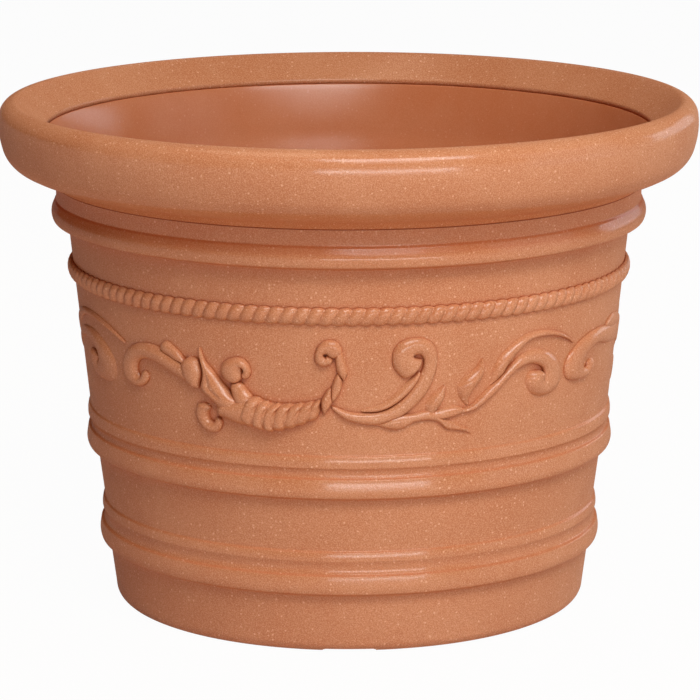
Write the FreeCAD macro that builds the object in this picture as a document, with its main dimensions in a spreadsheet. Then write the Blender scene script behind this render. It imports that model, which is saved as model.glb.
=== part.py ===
import FreeCAD, Part
import math
import os
import Sketcher

# Round garden planter: a stepped, slightly tapered pot with a rolled rim,
# ring mouldings, a rope band and a festoon of scrolls round the wall.
# Origin at the centre of the foot, +Z up, the front of the festoon faces -Y.

V = FreeCAD.Vector
doc = FreeCAD.newDocument("planter")
sheet = doc.addObject("Spreadsheet::Sheet", "Sizes")

VALUES = (
    ("rim_dia", 600.0),
    ("skin", 4.8),
    ("foot_radius", 203.5),
    ("heel_round", 10.0),
    ("foot_ring_width", 30.0),
    ("foot_recess", 4.0),
    ("floor_thickness", 5.0),
    ("base_height", 41.5),
    ("base_flare", 6.3),
    ("low_ring_underside", 2.9),
    ("low_ring_overhang", 7.4),
    ("low_ring_height", 18.6),
    ("low_ring_bulge", 1.1),
    ("low_ring_step", 3.4),
    ("low_bead_height", 19.0),
    ("low_bead_bulge", 2.7),
    ("tier_height", 44.0),
    ("tier_flare", 5.9),
    ("mid_ring_underside", 3.0),
    ("mid_ring_overhang", 7.7),
    ("mid_ring_height", 17.2),
    ("mid_ring_bulge", 1.3),
    ("mid_ring_step", 5.1),
    ("mid_bead_height", 18.8),
    ("mid_bead_bulge", 2.8),
    ("bead_step", 0.7),
    ("wall_height", 157.5),
    ("wall_flare", 16.6),
    ("top_ring_underside", 4.1),
    ("top_ring_overhang", 12.8),
    ("top_ring_height", 17.4),
    ("top_ring_bulge", 1.7),
    ("top_ring_step", 10.5),
    ("neck_height", 12.0),
    ("seat_height", 45.5),
    ("seat_flare", 12.3),
    ("rim_rise", 27.5),
    ("rim_roll", 35.0),
    ("rim_skin", 4.7),
    ("lip_height", 4.0),
    ("lip_reveal", 0.5),
    ("rim_fit", 0.3),
    ("rope_level", 110.0),
    ("rope_height", 15.5),
    ("rope_proud", 5.0),
    ("channel_width", 43.0),
    ("channel_height", 2.6),
    ("drain_circle", 110.0),
    ("drain_dia", 20.0),
    ("drain_count", 4.0),
    ("plug_fit", 0.3),
    ("plug_head_dia", 32.0),
    ("plug_head_height", 3.0),
    ("plug_knob_dia", 10.0),
    ("plug_knob_height", 6.0),
    ("festoon_start", -53.7),
    ("festoon_span", 105.8),
    ("relief_width", 1.0),
    ("relief_depth", 1.0),
    ("relief_at_parting", 0.2),
    ("relief_bed", 0.12),
)


class Size:
    """A number together with the sheet expression that gives it."""

    def __init__(self, text, value):
        self.text = text
        self.value = value

    def join(self, sign, other, value):
        other_text = other.text if isinstance(other, Size) else repr(float(other))
        return Size("(%s %s %s)" % (self.text, sign, other_text), value)

    def __add__(self, other):
        return self.join("+", other, self.value + number(other))

    def __sub__(self, other):
        return self.join("-", other, self.value - number(other))

    def __mul__(self, other):
        return self.join("*", other, self.value * number(other))


def number(item):
    return item.value if isinstance(item, Size) else float(item)


size = {}
for row, (alias, value) in enumerate(VALUES):
    cell = "B%d" % (row + 1)
    sheet.set("A%d" % (row + 1), alias)
    sheet.set(cell, str(value))
    sheet.setAlias(cell, alias)
doc.recompute()
for alias, value in VALUES:
    size[alias] = Size("Sizes." + alias, float(sheet.get(alias)))

# The drawn flares are shared out over the room between the foot and the rim.
STEPS = ("low_ring_step", "bead_step", "mid_ring_step", "bead_step", "top_ring_step")
FLARES = ("base_flare", "tier_flare", "wall_flare", "seat_flare")
room = "rim_dia * 0.5 - rim_roll - foot_radius - " + " - ".join(STEPS)
taper_row = len(VALUES) + 1
sheet.set("A%d" % taper_row, "taper")
sheet.set("B%d" % taper_row, "=(%s) / (%s)" % (room, " + ".join(FLARES)))
sheet.setAlias("B%d" % taper_row, "taper")
doc.recompute()
taper = Size("Sizes.taper", float(sheet.get("taper")))
wall_flare = size["wall_flare"] * taper


def middle(first, second):
    return (first + second) * 0.5


# Heights of the tiers, stacked from the floor up.
z_heel = size["heel_round"]
z_base = z_heel + size["base_height"]
z_low_edge = z_base + size["low_ring_underside"]
z_low_ring = z_low_edge + size["low_ring_height"]
z_low_bead = z_low_ring + size["low_bead_height"]
z_tier = z_low_bead + size["tier_height"]
z_mid_edge = z_tier + size["mid_ring_underside"]
z_mid_ring = z_mid_edge + size["mid_ring_height"]
z_wall_foot = z_mid_ring + size["mid_bead_height"]
z_wall_head = z_wall_foot + size["wall_height"]
z_top_edge = z_wall_head + size["top_ring_underside"]
z_top_ring = z_top_edge + size["top_ring_height"]
z_neck = z_top_ring + size["neck_height"]
z_seat = z_neck + size["seat_height"]
z_crest = z_seat + size["rim_rise"]
z_under = size["foot_recess"]
z_floor = z_under + size["floor_thickness"]

# Outer radii at the same levels.
r_foot = size["foot_radius"]
r_base = r_foot + size["base_flare"] * taper
r_low_edge = r_base + size["low_ring_overhang"]
r_low_ring = r_base + size["low_ring_step"]
r_low_bead = r_low_ring + size["bead_step"]
r_tier = r_low_bead + size["tier_flare"] * taper
r_mid_edge = r_tier + size["mid_ring_overhang"]
r_mid_ring = r_tier + size["mid_ring_step"]
r_wall_foot = r_mid_ring + size["bead_step"]
r_wall_head = r_wall_foot + wall_flare
r_top_edge = r_wall_head + size["top_ring_overhang"]
r_neck = r_wall_head + size["top_ring_step"]
r_seat = r_neck + size["seat_flare"] * taper
r_rim = size["rim_dia"] * 0.5
r_lip = r_seat - size["skin"] + size["lip_reveal"]


def origin_feature(body, role):
    for feature in body.Origin.OriginFeatures:
        if feature.Role == role:
            return feature
    raise RuntimeError("no " + role)


def new_sketch(body, name, role):
    sketch = body.newObject("Sketcher::SketchObject", name)
    sketch.AttachmentSupport = [(origin_feature(body, role), "")]
    sketch.MapMode = "FlatFace"
    return sketch


def pin(sketch, geo, pos, x, y):
    """Holds one sketch point at sheet driven coordinates."""
    for kind, axis, item in (("DistanceX", -2, x), ("DistanceY", -1, y)):
        if number(item) == 0.0:
            sketch.addConstraint(Sketcher.Constraint("PointOnObject", geo, pos, axis))
            continue
        index = sketch.addConstraint(
            Sketcher.Constraint(kind, -1, 1, geo, pos, number(item)))
        if isinstance(item, Size):
            sketch.setExpression("Constraints[%d]" % index, item.text)


def draw_profile(sketch, nodes):
    """Closed outline of lines and three point arcs; a node is (x, y, arc point or None)."""
    ends = []
    for index, (x, y, via) in enumerate(nodes):
        next_x, next_y, _ = nodes[(index + 1) % len(nodes)]
        start = V(number(x), number(y), 0)
        end = V(number(next_x), number(next_y), 0)
        if via is None:
            geo = sketch.addGeometry(Part.LineSegment(start, end), False)
        else:
            mid = V(number(via[0]), number(via[1]), 0)
            geo = sketch.addGeometry(Part.Arc(start, mid, end), False)
        first_is_start = (sketch.getPoint(geo, 1) - start).Length < 1e-6
        ends.append((geo, 1, 2) if first_is_start else (geo, 2, 1))
        if via is not None:
            point = sketch.addGeometry(Part.Point(mid), True)
            sketch.addConstraint(Sketcher.Constraint("PointOnObject", point, 1, geo))
            pin(sketch, point, 1, via[0], via[1])
    for index, (geo, first, last) in enumerate(ends):
        next_geo, next_first, _ = ends[(index + 1) % len(ends)]
        sketch.addConstraint(
            Sketcher.Constraint("Coincident", geo, last, next_geo, next_first))
        pin(sketch, geo, first, nodes[index][0], nodes[index][1])


def revolved(label, nodes):
    """Body turned about the Z axis from a closed outline of radius and height."""
    body = doc.addObject("PartDesign::Body", label)
    body.Label = label
    sketch = new_sketch(body, label + "_section", "XZ_Plane")
    draw_profile(sketch, nodes)
    turn = body.newObject("PartDesign::Revolution", label + "_turn")
    turn.Profile = sketch
    turn.ReferenceAxis = (sketch, ["V_Axis"])
    turn.Angle = 360.0
    sketch.Visibility = False
    doc.recompute()
    return body


def round_pattern(body, feature, name):
    pattern = body.newObject("PartDesign::PolarPattern", name)
    pattern.Originals = [feature]
    pattern.Axis = (origin_feature(body, "Z_Axis"), [""])
    pattern.Angle = 360.0
    pattern.Occurrences = int(size["drain_count"].value)
    pattern.setExpression("Occurrences", size["drain_count"].text)
    body.Tip = pattern
    doc.recompute()


def bead_point(r_low, r_high, z_low, z_high, bulge):
    return (middle(r_low, r_high) + bulge, middle(z_low, z_high))


def ring_point(r_edge, z_edge, height, bulge):
    return (r_edge + bulge, z_edge + height * 0.4)


# Pot shell: foot ring, heel, three tiers with ring mouldings, neck and floor.
r_recess = r_foot - size["heel_round"] - size["foot_ring_width"]
r_floor = r_foot - size["skin"]
shell_nodes = [
    (0.0, z_under, None),
    (r_recess, z_under, None),
    (r_recess + z_under, 0.0, None),
    (r_foot - size["heel_round"], 0.0,
     (r_foot - size["heel_round"] * 0.2929, size["heel_round"] * 0.2929)),
    (r_foot, z_heel, None),
    (r_base, z_base, None),
    (r_low_edge, z_low_edge,
     ring_point(r_low_edge, z_low_edge, size["low_ring_height"], size["low_ring_bulge"])),
    (r_low_ring, z_low_ring,
     bead_point(r_low_ring, r_low_bead, z_low_ring, z_low_bead, size["low_bead_bulge"])),
    (r_low_bead, z_low_bead, None),
    (r_tier, z_tier, None),
    (r_mid_edge, z_mid_edge,
     ring_point(r_mid_edge, z_mid_edge, size["mid_ring_height"], size["mid_ring_bulge"])),
    (r_mid_ring, z_mid_ring,
     bead_point(r_mid_ring, r_wall_foot, z_mid_ring, z_wall_foot, size["mid_bead_bulge"])),
    (r_wall_foot, z_wall_foot, None),
    (r_wall_head, z_wall_head, None),
    (r_top_edge, z_top_edge,
     ring_point(r_top_edge, z_top_edge, size["top_ring_height"], size["top_ring_bulge"])),
    (r_neck, z_top_ring, None),
    (r_neck, z_neck, None),
    (r_seat, z_seat, None),
    (r_seat - size["skin"], z_seat, None),
    (r_neck - size["skin"], z_neck, None),
    (r_wall_head - size["skin"], z_wall_head, None),
    (r_floor, z_floor + size["heel_round"],
     (r_floor - size["heel_round"] * 0.2929, z_floor + size["heel_round"] * 0.2929)),
    (r_floor - size["heel_round"], z_floor, None),
    (0.0, z_floor, None),
]
pot_shell = revolved("pot_shell", shell_nodes)

# Four shallow channels run out under the foot ring.
channel_sketch = new_sketch(pot_shell, "channel_section", "XZ_Plane")
half_width = size["channel_width"].value * 0.5
top = size["channel_height"].value
corners = [V(-half_width, 0, 0), V(half_width, 0, 0), V(half_width, top, 0), V(-half_width, top, 0)]
for index in range(4):
    channel_sketch.addGeometry(Part.LineSegment(corners[index], corners[(index + 1) % 4]), False)
for index in range(4):
    channel_sketch.addConstraint(
        Sketcher.Constraint("Coincident", index, 2, (index + 1) % 4, 1))
channel_sketch.addConstraint(Sketcher.Constraint("PointOnObject", 0, 1, -1))
channel_sketch.addConstraint(Sketcher.Constraint("Symmetric", 0, 1, 0, 2, -2))
channel_sketch.addConstraint(Sketcher.Constraint("Vertical", 1))
channel_sketch.addConstraint(Sketcher.Constraint("Vertical", 3))
channel_sketch.addConstraint(Sketcher.Constraint("Horizontal", 2))
wide = channel_sketch.addConstraint(Sketcher.Constraint("DistanceX", 0, 1, 0, 2, 2 * half_width))
channel_sketch.setExpression("Constraints[%d]" % wide, size["channel_width"].text)
high = channel_sketch.addConstraint(Sketcher.Constraint("DistanceY", 1, 1, 1, 2, top))
channel_sketch.setExpression("Constraints[%d]" % high, size["channel_height"].text)
channel = pot_shell.newObject("PartDesign::Pocket", "channel")
channel.Profile = channel_sketch
channel.Length = r_base.value
channel.setExpression("Length", r_base.text)
channel.Reversed = True
doc.recompute()
round_pattern(pot_shell, channel, "channels")

# Drain holes through the floor, one over each channel.
drain_sketch = new_sketch(pot_shell, "drain_section", "XY_Plane")
drain_sketch.addGeometry(
    Part.Circle(V(size["drain_circle"].value, 0, 0), V(0, 0, 1), size["drain_dia"].value * 0.5), False)
drain_sketch.addConstraint(Sketcher.Constraint("PointOnObject", 0, 3, -1))
reach = drain_sketch.addConstraint(
    Sketcher.Constraint("DistanceX", -1, 1, 0, 3, size["drain_circle"].value))
drain_sketch.setExpression("Constraints[%d]" % reach, size["drain_circle"].text)
bore = drain_sketch.addConstraint(Sketcher.Constraint("Diameter", 0, size["drain_dia"].value))
drain_sketch.setExpression("Constraints[%d]" % bore, size["drain_dia"].text)
drain = pot_shell.newObject("PartDesign::Pocket", "drain")
drain.Profile = drain_sketch
drain.Length = z_floor.value * 2.0
drain.setExpression("Length", (z_floor * 2.0).text)
drain.Reversed = True
doc.recompute()
round_pattern(pot_shell, drain, "drains")

# Rolled rim: a hollow collar whose lip sits on the top edge of the neck.
fit = size["rim_fit"]
rim_skin = size["rim_skin"]
r_tip = r_neck + fit
z_tip = z_neck + fit
roll = size["rim_roll"]
rise = size["rim_rise"]
lip = size["lip_height"]
z_turn = z_neck + size["seat_height"] * 0.466
z_swell = z_neck + size["seat_height"] * 0.567
z_face = z_neck + size["seat_height"] * 0.747
z_widest = z_neck + size["seat_height"] * 1.077
rim_nodes = [
    (r_tip, z_tip, None),
    (r_rim - roll * 0.4, z_turn, (r_rim - roll * 0.183, z_swell)),
    (r_rim - roll * 0.074, z_face, (r_rim, z_widest)),
    (r_rim - roll * 0.06, z_crest - rise * 0.418, (r_rim - roll * 0.211, z_crest - rise * 0.04)),
    (r_rim - roll * 0.429, z_crest - rise * 0.098, None),
    (r_lip + lip * 0.3, z_seat + lip * 1.25, None),
    (r_lip, z_seat + lip, None),
    (r_lip, z_seat, None),
    (r_lip + rim_skin, z_seat, None),
    (r_lip + rim_skin, z_seat + lip * 0.55, None),
    (r_rim - roll * 0.443, z_crest - rise * 0.113 - rim_skin * 1.32, None),
    (r_rim - roll * 0.217 - rim_skin * 0.45, z_crest - rise * 0.069 - rim_skin, None),
    (r_rim - roll * 0.06 - rim_skin, z_crest - rise * 0.458, None),
    (r_rim - rim_skin, z_widest, None),
    (r_rim - roll * 0.077 - rim_skin, z_face + rise * 0.022, None),
    (r_rim - roll * 0.183 - rim_skin * 0.81, z_swell + rim_skin * 0.81, None),
    (r_rim - roll * 0.397 - rim_skin * 0.53, z_turn + rim_skin * 0.85, None),
    (r_tip + rim_skin * 0.39, z_tip + rim_skin * 1.4, None),
]
rim_collar = revolved("rim_collar", rim_nodes)

# Rope band: a half round coil bedded on the tapered wall.


def wall_radius(z):
    """Radius of the tapered wall at a height given as a sheet driven size."""
    share = (z.value - z_wall_foot.value) / size["wall_height"].value
    return r_wall_foot + wall_flare * share


z_rope = z_wall_foot + size["rope_level"]
z_rope_top = z_rope + size["rope_height"]
z_rope_mid = middle(z_rope, z_rope_top)
rope_nodes = [
    (wall_radius(z_rope), z_rope, (wall_radius(z_rope_mid) + size["rope_proud"], z_rope_mid)),
    (wall_radius(z_rope_top), z_rope_top, None),
]
rope_band = revolved("rope_band", rope_nodes)

# Drain plugs: a stem in the hole, a flat head on the floor and a knob to pull.
r_stem = size["drain_dia"] * 0.5 - size["plug_fit"]
z_head = size["plug_head_height"]
z_knob = z_head + size["plug_knob_height"]
plug_nodes = [
    (0.0, 0.0, None),
    (0.0, z_knob, None),
    (size["plug_knob_dia"] * 0.5, z_knob, None),
    (size["plug_knob_dia"] * 0.5, z_head, None),
    (size["plug_head_dia"] * 0.5, z_head, None),
    (size["plug_head_dia"] * 0.5, 0.0, None),
    (r_stem, 0.0, None),
]
plugs = []
for index in range(int(size["drain_count"].value)):
    angle = 2.0 * math.pi * index / size["drain_count"].value
    label = "drain_plug_%d" % (index + 1)
    plug = revolved(label, plug_nodes)
    stem_sketch = new_sketch(plug, label + "_stem_section", "XY_Plane")
    stem_sketch.addGeometry(Part.Circle(V(0, 0, 0), V(0, 0, 1), r_stem.value), False)
    stem_sketch.addConstraint(Sketcher.Constraint("Coincident", 0, 3, -1, 1))
    round_size = stem_sketch.addConstraint(Sketcher.Constraint("Radius", 0, r_stem.value))
    stem_sketch.setExpression("Constraints[%d]" % round_size, r_stem.text)
    stem = plug.newObject("PartDesign::Pad", label + "_stem")
    stem.Profile = stem_sketch
    stem.Length = size["floor_thickness"].value
    stem.setExpression("Length", size["floor_thickness"].text)
    stem.Reversed = True
    doc.recompute()
    reach = size["drain_circle"].value
    plug.Placement = FreeCAD.Placement(
        V(reach * math.cos(angle), reach * math.sin(angle), z_floor.value), FreeCAD.Rotation())
    plug.setExpression("Placement.Base.x", (size["drain_circle"] * math.cos(angle)).text)
    plug.setExpression("Placement.Base.y", (size["drain_circle"] * math.sin(angle)).text)
    plug.setExpression("Placement.Base.z", z_floor.text)
    plugs.append(plug)

# Festoon strokes of one repeat: angle in degrees from the front, height in mm on
# the drawn wall, half width and depth in mm. Each stroke is one applied piece.
STROKES = (
    ("horn", ((-23.6, 211, 11, 7), (-21.3, 212, 12, 9), (-18.4, 210, 13, 10), (-15.5, 208, 12.5, 10),
              (-12.7, 208, 11.5, 9.5), (-10.1, 211, 10.5, 8.5), (-7.8, 214, 8, 7), (-6.6, 216, 6.5, 6))),
    ("bud", ((-35.2, 252, 3, 2), (-34.5, 248, 7, 6), (-33.6, 241, 8, 7.5), (-32.8, 234, 7, 6),
             (-32.2, 229, 3, 2))),
    ("curl", ((-46.3, 236, 3, 3), (-46.6, 228, 4.5, 4), (-48.3, 222, 5, 5), (-50.8, 224, 6, 6),
              (-51.6, 232, 7, 6.5), (-50.5, 241, 7.2, 7), (-47.5, 248, 7, 7), (-44.7, 250, 7, 7),
              (-41.9, 248, 7, 7), (-39.3, 244, 6.5, 6.5), (-37.0, 240, 6, 6))),
    ("leaf", ((-41.2, 262, 2, 2), (-39.5, 258, 4.5, 4.5), (-37.8, 254, 4.5, 4.5), (-36.0, 250, 3, 3))),
    ("calyx", ((-31.4, 261, 1.4, 2), (-31.0, 249, 3, 4), (-30.2, 239, 6.5, 6), (-29.0, 230, 8, 7.5),
               (-27.2, 222, 8, 8), (-25.4, 217, 7.5, 8))),
    ("crown", ((-22.4, 224, 6, 7), (-23.6, 232, 5.5, 6), (-24.8, 240, 6.5, 6), (-25.3, 246, 6, 6),
               (-24.3, 251, 5, 6), (-22.7, 252.5, 4.2, 5.5), (-21.4, 250, 3.6, 5), (-21.1, 245, 3.4, 4.5),
               (-21.7, 241, 2.4, 3))),
    ("under_curl", ((-28.0, 208, 5, 6), (-30.3, 208.5, 6, 6), (-31.9, 204.5, 6, 6), (-32.1, 198, 5.5, 5.5),
                    (-30.8, 193.5, 4.5, 5), (-28.9, 193, 3.5, 4), (-27.8, 197, 2.2, 3))),
    ("tendril", ((-5.9, 216, 5, 5), (-4.9, 224, 5, 5), (-3.7, 234, 4.6, 4.5), (-2.4, 242, 4.5, 4.5),
                 (-1.5, 252, 5, 5), (-1.5, 262, 5, 5), (-2.6, 268, 4.8, 5), (-4.3, 270, 4.6, 5),
                 (-6.1, 267, 4.5, 5), (-6.8, 260, 4.2, 5), (-6.1, 254, 3.6, 4.5), (-4.7, 253.5, 3.2, 4),
                 (-3.9, 258, 2.6, 3.5))),
    ("bough", ((-3.8, 217, 2.2, 2.5), (-2.4, 213, 3.6, 4), (0.2, 209.5, 4.4, 5), (3.3, 208.5, 4.6, 5),
               (6.2, 210, 4.6, 5), (9.1, 213.5, 4.6, 5), (11.6, 220, 4.6, 5), (13.6, 229, 4.6, 5),
               (15.2, 239, 4.6, 5), (16.0, 249, 4.6, 5), (15.6, 259, 4.6, 5), (14.2, 266, 4.8, 5.5),
               (12.3, 270, 5, 6), (10.3, 269, 5, 6), (8.9, 263, 4.8, 6), (8.7, 255, 4.6, 5.5),
               (9.5, 248, 4.2, 5), (10.9, 247, 3.8, 5), (12.2, 250.5, 3.2, 4), (12.8, 255, 2.4, 3))),
    ("shoot", ((1.7, 217.5, 1.2, 1.5), (5.8, 220, 2.6, 2.5), (8.7, 227, 3, 3), (10.6, 234.5, 2.8, 3),
               (12.2, 241, 1.8, 2))),
    ("volute", ((16.6, 209, 3.4, 4), (19.5, 209, 4, 4), (22.8, 209.5, 4, 4), (25.6, 214, 4, 4.5),
                (28.7, 223, 4.4, 5), (31.7, 233, 5, 5), (34.2, 242, 5.4, 5.5), (36.9, 247.5, 6, 6),
                (40.3, 247.5, 6, 6.5), (43.4, 242, 6, 6.5), (45.0, 231.5, 5.8, 6.5), (44.6, 222, 5.4, 6),
                (42.5, 217.5, 4.8, 6), (39.9, 220, 4.2, 5.5), (39.1, 227, 3.8, 5), (40.5, 230.5, 3.2, 4.5),
                (41.8, 228, 2.4, 3))),
    ("twig", ((5.6, 202, 2, 3), (8.1, 200.5, 4.2, 4.5), (11.0, 204, 4.4, 4.5), (13.8, 207.5, 3.4, 4))),
    ("leaf_tip", ((16.6, 203.5, 1.6, 2), (18.4, 200, 3.2, 3.5), (21.7, 195, 3.4, 3),
                  (24.7, 189.5, 1.2, 1.5))),
    ("sprig", ((18.5, 232, 1.2, 1.5), (17.9, 226.5, 4, 4), (17.0, 220, 4.6, 4.5), (16.4, 214.5, 3, 3))),
    ("frond", ((26.4, 253, 1.2, 1.5), (25.6, 242.5, 4.4, 4), (24.1, 233, 5.6, 4.5), (23.4, 225, 3.5, 3))),
    ("arch", ((28.6, 231, 1.6, 2), (30.2, 243, 5.2, 4.5), (32.5, 252.5, 5, 4.5), (35.3, 260, 4.2, 4),
              (38.7, 264.5, 3.6, 4), (42.6, 265.5, 3.2, 3.5), (47.0, 262, 2.8, 3), (50.3, 255, 2, 2))),
)
DRAWN_WALL_FOOT = 175.0
DRAWN_WALL_HEIGHT = 157.5
DRAWN_START = -53.7
DRAWN_SPAN = 105.8
# Shares of the drawn repeat, and the shares of its own span where each repeat has them.
# The second and third open out where they pass the sides of the pot.
REPEATS = (
    (1, (0.0, 1.0), (0.0, 1.0)),
    (2, (0.0, 0.0917, 0.1578, 1.0), (0.0, 0.0897, 0.2274, 1.0)),
    (3, (0.0, 0.7779, 0.8856, 1.0), (0.0, 0.7065, 0.8875, 1.0)),
)


def own_share(share, drawn, own):
    """Place in a repeat's own span of a share of the drawn one."""
    for index in range(len(drawn) - 1):
        if share <= drawn[index + 1] or index == len(drawn) - 2:
            part = (share - drawn[index]) / (drawn[index + 1] - drawn[index])
            return own[index] + part * (own[index + 1] - own[index])


def draft(turn):
    """Share of the depth that draws from a mould parted at the two sides."""
    face = min(abs(math.cos(turn)) / 0.6, 1.0)
    least = size["relief_at_parting"].value
    return least + (1.0 - least) * face * face * (3.0 - 2.0 * face)


def wall_point(angle, z):
    share = wall_flare.value / size["wall_height"].value
    radius = r_wall_foot.value + (z - z_wall_foot.value) * share
    return V(radius * math.sin(angle), -radius * math.cos(angle), z)


def wall_normal(angle):
    share = wall_flare.value / size["wall_height"].value
    normal = V(math.sin(angle), -math.cos(angle), -share)
    return normal.normalize()


def stroke_solid(points, start, span, drawn, own):
    """Tapered half round stroke, its flat back lying on the wall."""
    path = []
    for angle, z, half, deep in points:
        place = own_share((angle - DRAWN_START) / DRAWN_SPAN, drawn, own)
        turn = math.radians(start + place * span)
        share = (z - DRAWN_WALL_FOOT) / DRAWN_WALL_HEIGHT
        level = z_wall_foot.value + share * size["wall_height"].value
        depth = deep * size["relief_depth"].value * draft(turn)
        here = (turn, level, half * size["relief_width"].value, depth)
        if path and abs(turn - path[-1][0]) > math.radians(4.5):
            path.append(tuple((a + b) * 0.5 for a, b in zip(path[-1], here)))
        path.append(here)
    places =[wall_point(turn, level) for turn, level, _, _ in path]
    sections = []
    for index, (turn, level, half, deep) in enumerate(path):
        before = places[max(index - 1, 0)]
        after = places[min(index + 1, len(places) - 1)]
        normal = wall_normal(turn)
        along = after - before
        along = (along - normal * along.dot(normal)).normalize()
        side = normal.cross(along)
        foot = places[index] + normal * size["relief_bed"].value
        arch = []
        for step in range(9):
            sweep = math.pi * step / 8
            arch.append(foot + side * (half * math.cos(sweep)) + normal * (deep * math.sin(sweep)))
        curve = Part.BSplineCurve()
        curve.interpolate(arch)
        sections.append(Part.Wire([curve.toShape(), Part.makeLine(arch[-1], arch[0])]))
    return Part.makeLoft(sections, True, False)


span = size["festoon_span"].value
rest_span = (360.0 - span) * 0.5
start = size["festoon_start"].value
placed = []
for unit, drawn, own in REPEATS:
    unit_span = span if unit == 1 else rest_span
    unit_start = start + (0.0 if unit == 1 else span + rest_span * (unit - 2))
    for name, points in STROKES:
        solid = stroke_solid(points, unit_start, unit_span, drawn, own)
        for _, other in placed:
            if solid.BoundBox.intersect(other.BoundBox):
                solid = solid.cut(other)
        solid = max(solid.Solids, key=lambda item: item.Volume)
        placed.append(("festoon_%d_%s" % (unit, name), solid))
reliefs = []
for label, solid in placed:
    relief = doc.addObject("Part::Feature", label)
    relief.Label = label
    relief.Shape = solid
    reliefs.append(relief)

doc.recompute()
pieces = [pot_shell, rim_collar, rope_band] + plugs + reliefs
for item in doc.Objects:
    if "Invalid" in item.State or "Error" in item.State:
        raise RuntimeError("bad object " + item.Label)
for piece in pieces:
    if piece.Shape.isNull() or not piece.Shape.isValid():
        raise RuntimeError("bad shape " + piece.Label)
os.makedirs("parts", exist_ok=True)
for piece in pieces:
    piece.Shape.exportStep("parts/%s.step" % piece.Label)
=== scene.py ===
"""Round terracotta effect planter: rolled rim, ring mouldings, rope band and scrolled festoon."""

import math

import bmesh
import bpy
import numpy as np
from mathutils import Euler, Matrix, Vector


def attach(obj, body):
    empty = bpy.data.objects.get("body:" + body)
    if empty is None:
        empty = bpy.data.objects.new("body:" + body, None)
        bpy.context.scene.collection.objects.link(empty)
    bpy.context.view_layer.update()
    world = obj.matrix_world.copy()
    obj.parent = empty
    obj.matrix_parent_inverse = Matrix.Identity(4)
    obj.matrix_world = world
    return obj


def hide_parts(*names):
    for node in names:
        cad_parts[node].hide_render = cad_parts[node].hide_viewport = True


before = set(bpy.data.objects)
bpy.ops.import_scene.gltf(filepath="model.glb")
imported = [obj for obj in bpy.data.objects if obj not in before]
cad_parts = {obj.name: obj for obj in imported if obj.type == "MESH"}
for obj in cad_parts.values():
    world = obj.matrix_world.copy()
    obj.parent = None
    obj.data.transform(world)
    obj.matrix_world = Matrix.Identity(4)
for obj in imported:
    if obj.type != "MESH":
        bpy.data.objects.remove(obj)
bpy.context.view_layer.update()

bl_info = {
    "name": "Round Planter",
    "version": (1, 0, 0),
    "blender": (4, 5, 0),
    "location": "View3D > Sidebar > Planter",
    "description": "Builds a round moulded planter with a rope band and a scrolled festoon",
    "category": "Add Mesh",
}

MM = 0.001
PLANTER = "planter"

# Lengths are in millimetres unless said.
# The tapered wall that carries the rope and the festoon.
WALL_FOOT_RADIUS = 225.6
WALL_FOOT_HEIGHT = 175.0
WALL_FLARE = 16.6
WALL_RISE = 157.5
WALL_SLOPE = WALL_FLARE / WALL_RISE

# Floor of the pot: radius where the turned wall ends, its two faces and a slack above the lower one.
FLOOR_JOIN = 135.0
FLOOR_TOP = 9.0
FLOOR_UNDER = 4.0
FLOOR_SLACK = 0.1

# Sections are rows of radius, height and, where an arc leads on, a point on that arc.
POT_OUTSIDE = (
    (FLOOR_JOIN, FLOOR_UNDER),
    (163.5, FLOOR_UNDER),
    (167.5, 0.0),
    (194.3, 0.0, (201.9, 3.0)),
    (205.0, 10.5),
    (210.3, 50.7),
    (217.2, 53.7, (218.5, 58.2)),
    (218.6, 62.5),
    (217.6, 69.0),
    (215.0, 70.5),
    (214.3, 74.0, (214.7, 77.4)),
    (216.4, 81.6),
    (216.4, 84.2),
    (215.7, 88.9),
    (214.0, 90.2),
    (219.9, 135.0),
    (227.6, 138.0, (228.9, 141.8)),
    (228.8, 145.7),
    (227.6, 153.7),
    (225.4, 155.0),
    (225.0, 157.8, (225.7, 160.6)),
    (227.8, 163.6),
    (227.9, 168.5),
    (227.2, 172.9),
    (225.7, 174.1),
    (242.3, 331.6),
    (255.0, 335.4, (256.7, 341.2)),
    (254.6, 349.2, (253.9, 351.3)),
    (252.5, 353.0),
    (252.7, 366.0),
    (265.0, 411.5),
    (260.2, 411.5),
)
POT_INSIDE = (
    (260.2, 411.5, (252.7, 388.0)),
    (247.9, 366.0),
    (237.4, 332.5),
    (198.7, 19.0, (195.77, 11.93)),
    (188.7, FLOOR_TOP),
    (FLOOR_JOIN, FLOOR_TOP),
)
RIM_OUTSIDE = (
    (253.0, 366.3, (257.0, 370.6)),
    (264.0, 374.2, (276.0, 378.0)),
    (286.5, 382.9, (294.6, 391.2)),
    (298.1, 400.0, (300.4, 411.8)),
    (300.2, 425.5, (296.5, 433.4)),
    (288.8, 437.4, (286.2, 437.1)),
    (284.2, 435.7),
    (261.9, 416.5),
    (260.7, 415.5),
    (260.7, 411.5),
)
RIM_INSIDE = (
    (265.4, 411.5),
    (265.4, 413.7),
    (284.5, 427.0),
    (290.3, 431.4),
    (293.2, 425.4),
    (295.3, 415.0),
    (292.6, 400.6),
    (289.8, 394.6),
    (283.6, 388.2),
    (254.8, 372.9),
    (253.0, 366.3),
)

# Sections: gap between close points, fewest points of a run, and the rounding of corners.
PATH_STEP = 0.25
LEAST_POINTS = 3
BLUR_REACH = 3.0
RIM_ROUND = 0.9
# Points before the lip that have the inner skin, and the degrees of a sharp edge.
LIP_POINTS = 8
SHARP_EDGE = 50.0

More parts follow.
